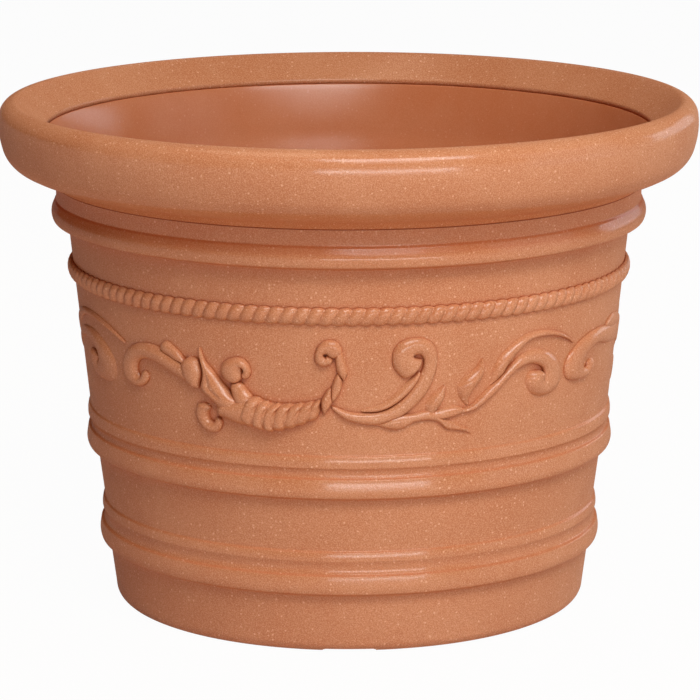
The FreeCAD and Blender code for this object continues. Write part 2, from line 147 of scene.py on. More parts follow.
# Drain holes, and the channels under the foot with their soft edge.
DRAIN_COUNT = 4
DRAIN_TURN = 2.0 * math.pi / DRAIN_COUNT
DRAIN_REACH = 110.0
DRAIN_RADIUS = 10.0
HOLE_STEPS = 48
CHANNEL_HALF = 21.5
CHANNEL_EDGE = 2.4
CHANNEL_TOP = 2.6

# Drain plug: section from the floor's top, rounding, spacing of points, radius of the tips.
PLUG_OUTLINE = (
    (0.05, -5.0), (9.2, -5.0), (9.65, -4.4), (9.65, -3.6), (9.2, -3.2), (9.2, -2.6), (9.65, -2.2),
    (9.65, -1.4), (9.2, -1.0), (9.2, 0.0), (15.6, 0.0), (16.0, 0.5), (15.9, 1.6), (14.0, 2.7), (8.0, 3.0),
    (4.3, 3.2), (3.6, 4.4), (4.2, 6.0), (5.0, 7.2), (4.7, 8.5), (3.2, 9.0), (0.05, 9.0),
)
PLUG_ROUND = 0.16
PLUG_STEP = 0.1
PLUG_BEND = 6.0
PLUG_RUN = 1.5
PLUG_STEPS = 64
PLUG_TIP = 0.02

# Rope: place on the wall, columns of a lump, sections across, and slant as a share of a lump.
ROPE_FOOT = 285.0
ROPE_HEIGHT = 15.5
ROPE_COLUMNS = 14
ROPE_SECTIONS = 21
ROPE_SLANT = 0.27
# Powers of the swell along and across, shares of width and lift, and depth of the bed.
ROPE_SWELL = 0.62
ROPE_ROUND = 0.85
ROPE_CREASE_WIDTH = 0.78
ROPE_LUMP_WIDTH = 0.22
ROPE_CREASE_LIFT = 0.52
ROPE_LUMP_LIFT = 0.48
ROPE_BED = 0.6

# Front view under the festoon: pixels across, focal length in pixels, place in metres, turn in degrees.
VIEW_PIXELS = 700.0
VIEW_FOCUS = 3812.0
VIEW_EYE = (0.0009, -3.2537, 0.9122)
VIEW_TILT = 12.107
VIEW_ROLL = -0.08
SENSOR_WIDTH = 36.0

# The festoon is drawn once, on four sheets over the front view. A sheet has its corner in pixels of the
# view and its points in fifths of a pixel. Each piece is one or more raised shapes, given by the sheet,
# how softly the two edges run out, and rows of a point on one edge, a point on the other and the depth.
DRAWN_START = -53.7
DRAWN_SPAN = 105.8
SHEET_SCALE = 5.0
SHEET_CORNERS = {"A": (76.0, 310.0), "B": (216.0, 320.0), "C": (326.0, 320.0), "D": (446.0, 306.0)}
STROKES = {
    "horn": (
        ("B", (0, 0), (
            (20, 395, 5, 468, 8.5), (70, 392, 50, 480, 9.5), (130, 385, 105, 508, 10.3),
            (185, 378, 160, 523, 10.4), (230, 392, 205, 533, 10.3), (270, 406, 255, 545, 10.2),
            (310, 415, 305, 548, 9.8), (350, 416, 350, 540, 9.3), (395, 416, 400, 528, 8.6),
            (440, 413, 452, 510, 7.8), (485, 405, 500, 488, 7), (520, 396, 530, 470, 6))),
    ),
    "bud": (
        ("A", (0, 0), (
            (562, 232, 580, 228, 3), (543, 250, 605, 238, 6.5), (537, 285, 626, 268, 8),
            (543, 320, 637, 305, 8), (562, 350, 636, 342, 7.5), (590, 375, 630, 370, 6),
            (615, 388, 626, 385, 3))),
    ),
    "curl": (
        ("A", (0, 0), (
            (600, 300, 572, 360, 5), (548, 265, 525, 335, 5.5), (500, 233, 478, 305, 5.5),
            (455, 203, 438, 275, 6), (405, 176, 400, 254, 6), (350, 161, 365, 241, 6),
            (300, 167, 338, 243, 6), (265, 195, 322, 255, 6), (248, 240, 315, 275, 6),
            (248, 290, 315, 300, 6), (262, 335, 322, 320, 5.5), (295, 366, 330, 330, 5),
            (332, 378, 335, 330, 5), (360, 362, 336, 322, 4.5), (370, 330, 336, 312, 4),
            (360, 298, 338, 300, 3))),
    ),
    "leaf": (
        ("A", (0, 0), (
            (430, 172, 428, 192, 3), (448, 152, 442, 210, 4.5), (480, 167, 475, 230, 5),
            (510, 194, 505, 250, 5), (537, 228, 532, 262, 4.5), (560, 262, 552, 285, 4))),
    ),
    "calyx": (
        ("A", (0, 0), (
            (617, 183, 624, 182, 1.5), (615, 205, 630, 200, 2.5), (620, 235, 645, 240, 3.5),
            (632, 270, 665, 272, 5), (640, 310, 690, 300, 6.5), (635, 350, 715, 332, 7.5),
            (630, 385, 742, 365, 8.5), (660, 420, 768, 395, 9), (700, 455, 800, 425, 9.5),
            (730, 495, 835, 445, 9.5), (765, 525, 870, 445, 9))),
    ),
    "crown": (
        ("B", (0, 0), (
            (112, 440, 205, 425, 9), (92, 395, 185, 375, 8), (81, 355, 155, 340, 6.5),
            (74, 325, 140, 315, 6), (68, 303, 132, 298, 5))),
        ("B", (0, 0), (
            (92, 312, 118, 312, 5), (62, 300, 134, 290, 6.5), (38, 275, 138, 268, 7.5),
            (26, 245, 138, 252, 7.5), (35, 212, 138, 240, 7.5), (70, 190, 138, 236, 7),
            (115, 184, 140, 240, 6.5), (152, 202, 140, 246, 6), (174, 240, 138, 252, 5.5),
            (174, 272, 134, 260, 5), (155, 292, 132, 268, 4.5), (138, 290, 132, 276, 3))),
    ),
    "under_curl": (
        ("A", (0, 0), (
            (645, 452, 692, 488, 5), (614, 466, 674, 498, 5.5), (605, 503, 668, 520, 5.5),
            (618, 545, 676, 542, 5.5), (645, 585, 688, 552, 5.5), (685, 606, 696, 556, 5.5),
            (718, 604, 700, 552, 5), (735, 575, 702, 546, 4.5), (733, 545, 702, 540, 4),
            (718, 528, 704, 534, 3))),
    ),
    "tendril": (
        ("B", (0, 0), (
            (540, 470, 546, 468, 3), (526, 440, 570, 432, 6), (524, 405, 584, 405, 6),
            (540, 370, 584, 376, 5.5), (560, 344, 580, 348, 4), (574, 333, 578, 336, 2))),
        ("B", (0, 0), (
            (580, 410, 588, 408, 2), (575, 390, 598, 396, 4.5), (573, 362, 616, 370, 5.5),
            (578, 330, 630, 335, 5.5), (590, 295, 632, 303, 5), (603, 272, 624, 282, 4),
            (611, 264, 616, 268, 2))),
        ("B", (0, 0.5), (
            (640, 304, 644, 300, 2), (618, 280, 657, 270, 4.5), (603, 250, 654, 240, 5),
            (597, 220, 644, 205, 5), (594, 195, 634, 170, 5), (590, 175, 628, 140, 4.5))),
        ("B", (0, 0), (
            (636, 186, 570, 195, 5), (632, 145, 560, 182, 5.3), (612, 112, 550, 172, 5.5),
            (575, 97, 542, 172, 5.5), (535, 106, 540, 174, 5.5), (506, 135, 540, 178, 5.5),
            (492, 175, 546, 180, 5.5), (500, 212, 550, 182, 5.5), (530, 230, 552, 180, 5.5),
            (565, 224, 552, 176, 5.5), (590, 207, 550, 172, 5.5), (598, 188, 548, 170, 5))),
    ),
    "bough": (
        ("C", (0, 0), (
            (28, 424, 24, 440, 2), (50, 432, 55, 465, 3.5), (90, 448, 100, 495, 4.5),
            (140, 460, 150, 512, 5), (190, 463, 200, 521, 5), (240, 461, 258, 522, 5),
            (290, 449, 318, 505, 5), (335, 426, 378, 478, 5), (380, 390, 432, 438, 5),
            (420, 347, 477, 393, 5), (450, 302, 512, 343, 5), (470, 262, 537, 290, 5),
            (482, 228, 553, 235, 5), (484, 198, 557, 185, 5), (479, 184, 549, 142, 5),
            (472, 175, 530, 112, 5), (463, 172, 500, 94, 5), (452, 173, 455, 86, 5),
            (444, 177, 405, 93, 5.5), (440, 181, 360, 118, 6), (442, 184, 334, 160, 6.3),
            (452, 187, 329, 200, 6.5), (463, 189, 338, 238, 6.5), (470, 190, 358, 265, 6.3),
            (474, 190, 385, 288, 6), (479, 192, 425, 277, 5.5), (484, 198, 462, 252, 4.5))),
    ),
    "shoot": (
        ("C", (0.6, 0), (
            (172, 446, 175, 460, 1.2), (230, 434, 240, 460, 2.8), (285, 413, 296, 446, 3.6),
            (335, 378, 350, 416, 4), (378, 338, 398, 378, 4), (415, 300, 437, 335, 3.6),
            (445, 272, 465, 292, 3), (462, 250, 478, 262, 1.8))),
    ),
    "volute": (
        ("D", (0.4, 0), (
            (60, 512, 70, 533, 3), (110, 500, 125, 520, 4), (160, 460, 185, 480, 4.6),
            (210, 408, 240, 427, 4.8), (250, 368, 287, 376, 5), (290, 322, 327, 329, 5),
            (330, 280, 362, 303, 5), (375, 243, 396, 290, 5), (425, 222, 430, 287, 5),
            (475, 216, 462, 297, 5), (522, 234, 476, 312, 5), (556, 270, 478, 330, 5),
            (570, 315, 474, 345, 5), (564, 362, 470, 352, 5), (545, 405, 468, 356, 5),
            (510, 432, 470, 355, 5), (470, 443, 474, 352, 5.3), (430, 433, 478, 348, 6),
            (407, 402, 482, 344, 6.8), (404, 365, 486, 340, 7.2), (422, 328, 488, 336, 7),
            (455, 310, 488, 330, 6))),
        ("D", (0.6, 0), (
            (-95, 520, -85, 566, 0.8), (-62, 524, -52, 567, 3), (-20, 513, 0, 560, 4.2),
            (30, 500, 45, 546, 4.2), (65, 501, 76, 531, 3.8), (88, 511, 91, 517, 1.8))),
    ),
    "twig": (
        ("C", (0.3, 0), (
            (262, 515, 250, 521, 2), (290, 503, 285, 534, 3.5), (330, 483, 335, 546, 4.5),
            (375, 472, 380, 541, 4.5), (415, 468, 425, 516, 4.2), (455, 462, 470, 501, 4),
            (495, 452, 510, 498, 4), (530, 452, 545, 503, 3.5), (562, 464, 572, 514, 1))),
    ),
    "leaf_tip": (
        ("C", (1, 0), (
            (500, 450, 515, 496, 0.8), (535, 460, 548, 504, 3), (570, 480, 575, 522, 3.8),
            (610, 500, 605, 545, 3.6), (650, 515, 645, 548, 3.2), (690, 533, 690, 555, 2.6),
            (728, 552, 724, 568, 1.2))),
    ),
    "sprig": (
        ("C", (0.6, 0), (
            (590, 322, 594, 328, 1.5), (565, 345, 594, 355, 3.8), (535, 370, 589, 385, 4.8),
            (512, 400, 576, 412, 4.8), (500, 425, 560, 435, 4), (500, 452, 545, 462, 2.4),
            (508, 478, 545, 484, 0.8))),
    ),
    "frond": (
        ("D", (0.6, 0), (
            (178, 256, 183, 262, 1.5), (160, 295, 187, 300, 4.2), (125, 330, 181, 340, 5.4),
            (85, 365, 159, 378, 6), (62, 400, 135, 412, 5.4), (62, 440, 120, 440, 3.8),
            (80, 475, 112, 468, 2), (98, 500, 116, 492, 0.7))),
    ),
    "arch": (
        ("D", (0.5, 0), (
            (214, 402, 240, 380, 0.7), (222, 372, 268, 352, 2.4), (234, 325, 288, 322, 4.4),
            (255, 275, 308, 281, 5.2), (295, 225, 338, 240, 5.2), (345, 178, 378, 198, 4.8),
            (395, 143, 416, 167, 4.5), (445, 124, 460, 152, 4.2), (505, 117, 515, 145, 4),
            (560, 126, 562, 150, 3.6), (602, 146, 600, 164, 3), (634, 176, 629, 184, 2))),
    ),
}
# Creases between the horn's lumps, as points on its sheet, and the depths of the lumps.
HORN_CREASES = (
    ((195, 372), (168, 398), (145, 432), (132, 470), (128, 514)),
    ((240, 390), (215, 425), (200, 465), (196, 505), (205, 538)),
    ((287, 410), (262, 440), (249, 480), (250, 520), (262, 552)),
    ((340, 412), (312, 440), (297, 480), (294, 520), (305, 555)),
    ((398, 412), (370, 440), (354, 480), (350, 515), (358, 547)),
    ((450, 408), (428, 434), (410, 465), (404, 500), (415, 531)),
    ((498, 399), (476, 430), (460, 462), (455, 490), (466, 513)),
    ((528, 390), (514, 425), (508, 455), (508, 478), (515, 489)),
)
LUMP_DEPTHS = (11.3, 11.3, 11, 10.5, 9.6, 8.6, 7.6)
LUMP_SWELL = (0.75, 1.0, 1.03, 0.97, 0.75)
LUMP_OVERLAP = 0.21
# Shares of the drawn repeat, and the shares of its own span where each repeat has them.
REPEATS = (
    (1, (0.0, 1.0), (0.0, 1.0)),
    (2, (0.0, 0.0473, 0.0767, 0.1191, 0.1578, 1.0), (-0.0083, 0.048, 0.0862, 0.1259, 0.2274, 1.0)),
    (3, (0.0, 0.7779, 0.880, 0.9187, 0.9753, 1.0), (0.0, 0.7065, 0.862, 0.9048, 0.9656, 1.0)),
)
# Grooves along a shape: place across, width, depth, and where along it they begin and end.
GROOVE = {"calyx": (-0.05, 0.18, 0.16, 0.3, 0.8)}
GROOVE_FADE = 8.0

# Raised shapes: gap and least number of sections, share of even spacing, columns, bed, least depth.
RELIEF_GAP = 0.9
RELIEF_LEAST = 24
RELIEF_EVEN = 0.75
RELIEF_COLUMNS = 27
RELIEF_BED = 0.7
RELIEF_SHALLOW = 0.5
# How the ends close: least length, most as a share of the shape, and the share left open.
END_LEAST = 0.8
END_MOST = 0.4
END_OPEN = 0.02
# Powers of the section, and what a soft edge changes in them and adds to the reach.
RISE_INNER = 2.3
RISE_OUTER = 0.52
SOFT_INNER = 0.5
SOFT_OUTER = 0.9
SOFT_REACH = 0.3
# Mould draft: cosine from which the depth is full, and the share left at the parting.
DRAFT_FULL = 0.65
DRAFT_LEAST = 0.22

# Skins: strength of the specks, share of the painted shade of wide hollows left in the open, wax, its
# roughness, and the limits of occlusion between which that painted shade fades out.
OUTER_SKIN = {"grain": 1.0, "depth": 0.0, "wax": 0.070, "gloss": 0.16, "painted_shade_limits": (0.35, 0.92)}
RELIEF_SKIN = {"grain": 1.0, "depth": 0.0, "wax": 0.080, "gloss": 0.18, "painted_shade_limits": (0.05, 0.50)}
INNER_SKIN = {"grain": 0.4, "depth": 0.35, "wax": 0.085, "gloss": 0.26, "painted_shade_limits": (0.35, 0.92)}
# Limits and strengths of mottling, sand and dots, and their number in a speck's spacing.
MOTTLE_LIMITS = (0.35, 0.65)
SAND_MIDDLE = 0.50
SAND_PALE = 0.64
SAND_DEEP = 0.36
SAND_SHARE = 0.46
SAND_COUNT = 1.6
DOT_LIMITS = (0.30, 0.14)
DOT_CHOICE = (0.72, 0.86)
DOT_SHARE = 0.85
DOT_COUNT = 0.4
# How far the painted shade of hollows and inner corners looks for faces.
PAINTED_SHADE_REACH = 80.0
PAINTED_CREASE_REACH = 6.0
PAINTED_CREASE_LIMITS = (0.30, 0.80)
HOLLOW_SAMPLES = 6
RUBBER_DUST = (0.075, 0.070, 0.066)
DUST_LIMITS = (0.45, 0.75)
RUBBER_GRAIN = (-0.6, 1.3)

# Stage, in metres: the ground's half width, drop, two tones and how white it looks.
WHITE = (1.0, 1.0, 1.0)
GROUND_HALF = 30.0
GROUND_DROP = 0.0005
GROUND_TONES = ((0.70, 0.54, 0.41), (0.73, 0.57, 0.44))
GROUND_WHITE = 0.97
WORLD_LIGHT = 0.01
SIGHT_END = 200.0
# Lamps: name, degrees round from the front, degrees up, metres away, width and height, watts and tint.
LAMP_TARGET = (0.0, 0.0, 0.22)
LAMPS = (
    ("key", 18.0, 46.0, 3.2, (2.2, 0.9), 61.0, WHITE),
    ("front", 12.0, 1.0, 3.6, (2.8, 0.22), 26.0, WHITE),
    ("middle", 14.0, 32.0, 3.6, (1.6, 0.9), 12.0, WHITE),
    ("side", 75.0, 15.0, 3.0, (2.0, 2.0), 10.0, (0.86, 1.0, 1.12)),
    ("edge", 130.0, 10.0, 3.0, (2.0, 1.0), 32.0, (0.9, 1.0, 1.1)),
    ("back", 180.0, 45.0, 3.2, (2.0, 2.0), 8.0, WHITE),
    ("left", -75.0, 12.0, 3.2, (1.6, 1.6), 4.5, (1.0, 0.42, 0.22)),
    ("top", -60.0, 75.0, 3.2, (1.6, 1.6), 22.0, (1.0, 0.74, 0.52)),
)


class PlanterSizes(bpy.types.PropertyGroup):
    """Sizes of the moulded skin that a user would change."""

    turn_steps: bpy.props.IntProperty(
        name="Turn steps", description="Faces round the turned pieces",
        default=720, min=90, max=1440, subtype="UNSIGNED")
    edge_round: bpy.props.FloatProperty(
        name="Edge round", description="How far the moulded edges are rounded",
        default=0.55 * MM, min=0.3 * MM, max=3.0 * MM, unit="LENGTH", subtype="DISTANCE")
    rope_lumps: bpy.props.IntProperty(
        name="Rope lumps", description="Lumps of the rope band round the pot",
        default=135, min=60, max=240, subtype="UNSIGNED")
    rope_proud: bpy.props.FloatProperty(
        name="Rope height", description="How far the rope stands off the wall",
        default=5.6 * MM, min=0.0, unit="LENGTH", subtype="DISTANCE")
    relief_scale: bpy.props.FloatProperty(
        name="Relief depth", description="Share of the drawn depth of the festoon",
        default=1.0, min=0.3, max=1.0, subtype="FACTOR")
    speck_size: bpy.props.FloatProperty(
        name="Speck size", description="Spacing of the specks in the skin",
        default=1.5 * MM, min=0.3 * MM, unit="LENGTH", subtype="DISTANCE")


class PlanterColours(bpy.types.PropertyGroup):
    """Colours of the skin, of the shade painted on it and of the plugs."""

    clay: bpy.props.FloatVectorProperty(
        name="Clay", description="Main colour of the skin", subtype="COLOR", size=3,
        default=(0.62, 0.262, 0.127), min=0.0, max=1.0)
    clay_deep: bpy.props.FloatVectorProperty(
        name="Deep clay", description="Darker colour of the mottling", subtype="COLOR", size=3,
        default=(0.58, 0.225, 0.101), min=0.0, max=1.0)
    speck_pale: bpy.props.FloatVectorProperty(
        name="Pale speck", description="Colour of the pale specks", subtype="COLOR", size=3,
        default=(0.80, 0.46, 0.29), min=0.0, max=1.0)
    speck_deep: bpy.props.FloatVectorProperty(
        name="Deep speck", description="Colour of the dark specks", subtype="COLOR", size=3,
        default=(0.44, 0.135, 0.050), min=0.0, max=1.0)
    # Painted shade: occlusion mixes this colour into wide hollows, such as under the rim.
    painted_recess_shade: bpy.props.FloatVectorProperty(
        name="Recess", description="Colour of the skin in wide hollows", subtype="COLOR", size=3,
        default=(0.55, 0.122, 0.033), min=0.0, max=1.0)
    # Painted shade: occlusion mixes this colour into sharp inner corners between parts.
    painted_crease_shade: bpy.props.FloatVectorProperty(
        name="Crease", description="Colour of the skin in sharp inner corners", subtype="COLOR", size=3,
        default=(0.30, 0.066, 0.022), min=0.0, max=1.0)
    plug: bpy.props.FloatVectorProperty(
        name="Plug", description="Colour of the rubber drain plugs", subtype="COLOR", size=3,
        default=(0.035, 0.034, 0.033), min=0.0, max=1.0)


def arc_between(start, via, end, count):
    """Points on the circle through three points, without the last one."""
    ax, ay = start
    bx, by = via
    cx, cy = end
    d = 2.0 * (ax * (by - cy) + bx * (cy - ay) + cx * (ay - by))
    a2, b2, c2 = ax * ax + ay * ay, bx * bx + by * by, cx * cx + cy * cy
    ux = (a2 * (by - cy) + b2 * (cy - ay) + c2 * (ay - by)) / d
    uy = (a2 * (cx - bx) + b2 * (ax - cx) + c2 * (bx - ax)) / d
    radius = math.hypot(ax - ux, ay - uy)
    first = math.atan2(ay - uy, ax - ux)
    middle = (math.atan2(by - uy, bx - ux) - first) % (2.0 * math.pi)
    last = (math.atan2(cy - uy, cx - ux) - first) % (2.0 * math.pi)
    if middle > last:
        last -= 2.0 * math.pi
    turn = first + last * np.linspace(0.0, 1.0, count, endpoint=False)
    return np.stack([ux + radius * np.cos(turn), uy + radius * np.sin(turn)], 1)


def section_path(nodes, step=PATH_STEP):
    """Close points along the lines and arcs of a section."""
    runs = []
    for (r0, z0, *via), (r1, z1, *_) in zip(nodes, nodes[1:]):
        count = max(LEAST_POINTS, int(math.hypot(r1 - r0, z1 - z0) / step))
        if via:
            runs.append(arc_between((r0, z0), via[0], (r1, z1), count))
        else:
            share = np.linspace(0.0, 1.0, count, endpoint=False)[:, None]
            runs.append(np.array([[r0, z0]]) * (1.0 - share) + np.array([[r1, z1]]) * share)
    runs.append(np.array([nodes[-1][:2]]))
    return np.concatenate(runs)


def rounded(path, reach, step=PATH_STEP):
    """The same path with its corners rounded over about that reach."""
    width = max(1, int(BLUR_REACH * reach / step))
    offsets = np.arange(-width, width + 1) * step
    kernel = np.exp(-0.5 * (offsets / reach) ** 2)
    kernel /= kernel.sum()
    head = 2.0 * path[0] - path[width:0:-1]
    tail = 2.0 * path[-1] - path[-2:-width - 2:-1]
    padded = np.concatenate([head, path, tail])
    return np.stack([np.convolve(padded[:, k], kernel, mode="valid") for k in (0, 1)], 1)


def thinned(path, turn=4.0, reach=6.0):
    """Indices that keep the bends of a path with few points."""
    steps = np.diff(path, axis=0)
    length = np.hypot(steps[:, 0], steps[:, 1])
    heading = np.unwrap(np.arctan2(steps[:, 1], steps[:, 0]))
    keep, last_heading, run = [0], heading[0], 0.0
    for i in range(1, len(path) - 1):
        run += length[i - 1]
        if abs(heading[i] - last_heading) > math.radians(turn) or run > reach:
            keep.append(i)
            last_heading, run = heading[i], 0.0
    keep.append(len(path) - 1)
    return np.array(keep)


def grid_faces(rows, columns, close_rows=False, close_columns=False, first=0):
    """Quads of a grid of vertices stored row by row."""
    i = np.arange(rows if close_rows else rows - 1)
    j = np.arange(columns if close_columns else columns - 1)
    i, j = (a.ravel() for a in np.meshgrid(i, j, indexing="ij"))
    i2, j2 = (i + 1) % rows, (j + 1) % columns
    quads = np.stack([i * columns + j, i * columns + j2, i2 * columns + j2, i2 * columns + j], 1)
    return quads + first


def turned_points(path, steps):
    """Vertices of a section turned about the Z axis, row by row, in millimetres."""
    angle = np.linspace(0.0, 2.0 * math.pi, steps, endpoint=False)
    r, z = path[:, :1], path[:, 1:]
    x, y = r * np.sin(angle), -r * np.cos(angle)
    return np.stack([x, y, np.broadcast_to(z, x.shape)], -1)


def new_piece(name, points, faces, materials, body=PLANTER):
    """A smooth shaded piece that rides on a body and replaces the node of its name."""
    mesh = bpy.data.meshes.new(name)
    mesh.from_pydata((np.asarray(points).reshape(-1, 3) * MM).tolist(), [], [list(f) for f in faces])
    mesh.validate()
    for material in materials:
        mesh.materials.append(material)
    mesh.polygons.foreach_set("use_smooth", [True] * len(mesh.polygons))
    piece = bpy.data.objects.new(name + "_piece", mesh)
    bpy.context.scene.collection.objects.link(piece)
    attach(piece, body)
    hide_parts(name)
    return piece


def node(tree, kind, **values):
    """One shader node, with input values by socket name."""
    made = tree.nodes.new(kind)
    for key, value in values.items():
        made.inputs[key.replace("_", " ")].default_value = value
    return made


def blank_material(name):
    """A new material without nodes, and its tree."""
    material = bpy.data.materials.new(name)
    material.use_nodes = True
    material.node_tree.nodes.clear()
    return material, material.node_tree


def ramp(tree, source, low, high):
    """Soft step of a value between two limits."""
    made = tree.nodes.new("ShaderNodeMapRange")
    made.interpolation_type = "SMOOTHSTEP"
    made.inputs["From Min"].default_value = low
    made.inputs["From Max"].default_value = high
    tree.links.new(source, made.inputs["Value"])
    return made.outputs["Result"]


def product(tree, first, second):
    """Product of two values, each a number or a socket."""
    made = tree.nodes.new("ShaderNodeMath")
    made.operation = "MULTIPLY"
    for socket, item in zip(made.inputs, (first, second)):
        if isinstance(item, float):
            socket.default_value = item
        else:
            tree.links.new(item, socket)
    return made.outputs[0]


def colour_mix(tree, factor, first, second):
    """Colour between two others, each a colour or a socket."""
    made = tree.nodes.new("ShaderNodeMix")
    made.data_type = "RGBA"
    tree.links.new(factor, made.inputs["Factor"])
    for socket, item in ((made.inputs["A"], first), (made.inputs["B"], second)):
        if isinstance(item, bpy.types.NodeSocket):
            tree.links.new(item, socket)
        else:
            socket.default_value = (*item, 1.0)
    return made.outputs["Result"]


def clay_material(name, grain, depth, wax, gloss, painted_shade_limits):
    """Speckled terracotta effect skin, with the settings of a skin, and shade painted into its hollows and
    inner corners.
    """
    sizes = bpy.context.scene.planter_sizes
    colours = bpy.context.scene.planter_colours
    material, tree = blank_material(name)
    links = tree.links
    place = tree.nodes.new("ShaderNodeTexCoord").outputs["Object"]

    cloud = node(tree, "ShaderNodeTexNoise", Scale=14.0, Detail=4.0, Roughness=0.6)
    fine = node(tree, "ShaderNodeTexNoise", Scale=420.0, Detail=3.0, Roughness=0.7)
    for texture in (cloud, fine):
        links.new(place, texture.inputs["Vector"])
    mottle = ramp(tree, cloud.outputs["Fac"], *MOTTLE_LIMITS)
    base = colour_mix(tree, mottle, colours.clay_deep, colours.clay)
    sand = node(tree, "ShaderNodeTexNoise", Scale=SAND_COUNT / sizes.speck_size, Detail=2.0, Roughness=0.75)
    links.new(place, sand.inputs["Vector"])
    for limit, tone in ((SAND_PALE, colours.speck_pale), (SAND_DEEP, colours.speck_deep)):
        grains = product(tree, ramp(tree, sand.outputs["Fac"], SAND_MIDDLE, limit), SAND_SHARE * grain)
        base = colour_mix(tree, grains, base, tone)
    cells = node(tree, "ShaderNodeTexVoronoi", Scale=DOT_COUNT / sizes.speck_size)
    links.new(place, cells.inputs["Vector"])
    pick = tree.nodes.new("ShaderNodeSeparateColor")
    links.new(cells.outputs["Color"], pick.inputs["Color"])
    dots = ramp(tree, cells.outputs["Distance"], *DOT_LIMITS)
    chosen = product(tree, ramp(tree, pick.outputs["Red"], *DOT_CHOICE), DOT_SHARE * grain)
    base = colour_mix(tree, product(tree, dots, chosen), base, colours.speck_pale)
    # Painted shade: occlusion darkens the skin in wide hollows and in sharp inner corners.
    painted_shade_layers = (
        (PAINTED_SHADE_REACH, painted_shade_limits, 1.0 - depth, colours.painted_recess_shade),
        (PAINTED_CREASE_REACH, PAINTED_CREASE_LIMITS, 1.0, colours.painted_crease_shade),
    )
    for distance, limits, share, tone in painted_shade_layers:
        hollow = node(tree, "ShaderNodeAmbientOcclusion", Distance=distance * MM)
        hollow.samples = HOLLOW_SAMPLES
        unshaded_share = product(tree, ramp(tree, hollow.outputs["AO"], *limits), share)
        base = colour_mix(tree, unshaded_share, tone, base)

    shader = node(
        tree, "ShaderNodeBsdfPrincipled", Roughness=0.6, Specular_IOR_Level=0.0, Coat_Weight=wax,
        Coat_IOR=4.0, Coat_Roughness=gloss, Sheen_Weight=0.03, Sheen_Roughness=0.4)
    links.new(base, shader.inputs["Base Color"])

    waves = node(tree, "ShaderNodeTexNoise", Scale=26.0, Detail=1.0)
    links.new(place, waves.inputs["Vector"])
    ripple = node(tree, "ShaderNodeBump", Strength=0.2, Distance=0.6 * MM)
    links.new(waves.outputs["Fac"], ripple.inputs["Height"])
    links.new(ripple.outputs["Normal"], shader.inputs["Coat Normal"])
    pores = node(tree, "ShaderNodeBump", Strength=0.3 * grain, Distance=0.4 * MM)
    links.new(fine.outputs["Fac"], pores.inputs["Height"])
    links.new(ripple.outputs["Normal"], pores.inputs["Normal"])
    links.new(pores.outputs["Normal"], shader.inputs["Normal"])

    out = node(tree, "ShaderNodeOutputMaterial")
    links.new(shader.outputs["BSDF"], out.inputs["Surface"])
    return material


def rubber_material(name):
    """Matt black rubber with a fine moulded grain."""
    colours = bpy.context.scene.planter_colours
    material, tree = blank_material(name)
    links = tree.links
    place = tree.nodes.new("ShaderNodeTexCoord").outputs["Object"]
    fine = node(tree, "ShaderNodeTexNoise", Scale=900.0, Detail=3.0)
    dust = node(tree, "ShaderNodeTexNoise", Scale=160.0, Detail=5.0)
    for texture in (fine, dust):
        links.new(place, texture.inputs["Vector"])
    shader = node(tree, "ShaderNodeBsdfPrincipled")
    tone = colour_mix(tree, ramp(tree, dust.outputs["Fac"], *DUST_LIMITS), colours.plug, RUBBER_DUST)
    links.new(tone, shader.inputs["Base Color"])
    links.new(ramp(tree, fine.outputs["Fac"], *RUBBER_GRAIN), shader.inputs["Roughness"])
    bump = node(tree, "ShaderNodeBump", Strength=0.2, Distance=0.3 * MM)
    links.new(fine.outputs["Fac"], bump.inputs["Height"])
    links.new(bump.outputs["Normal"], shader.inputs["Normal"])
    out = node(tree, "ShaderNodeOutputMaterial")
    links.new(shader.outputs["BSDF"], out.inputs["Surface"])
    return material


def shared_material(name, maker, **settings):
    """The material of that name, made on first use."""
    return bpy.data.materials.get(name) or maker(name, **settings)


def outer_clay():
    """Skin of the pot's outside and of the rim."""
    return shared_material("clay_outside", clay_material, **OUTER_SKIN)


def relief_clay():
    """Skin of the rope and the festoon, with less painted shade in its hollows than the outside has."""
    return shared_material("clay_relief", clay_material, **RELIEF_SKIN)


def inner_clay():
    """Smoother skin of the pot's inside, with a share of painted shade over all of it."""
    return shared_material("clay_inside", clay_material, **INNER_SKIN)


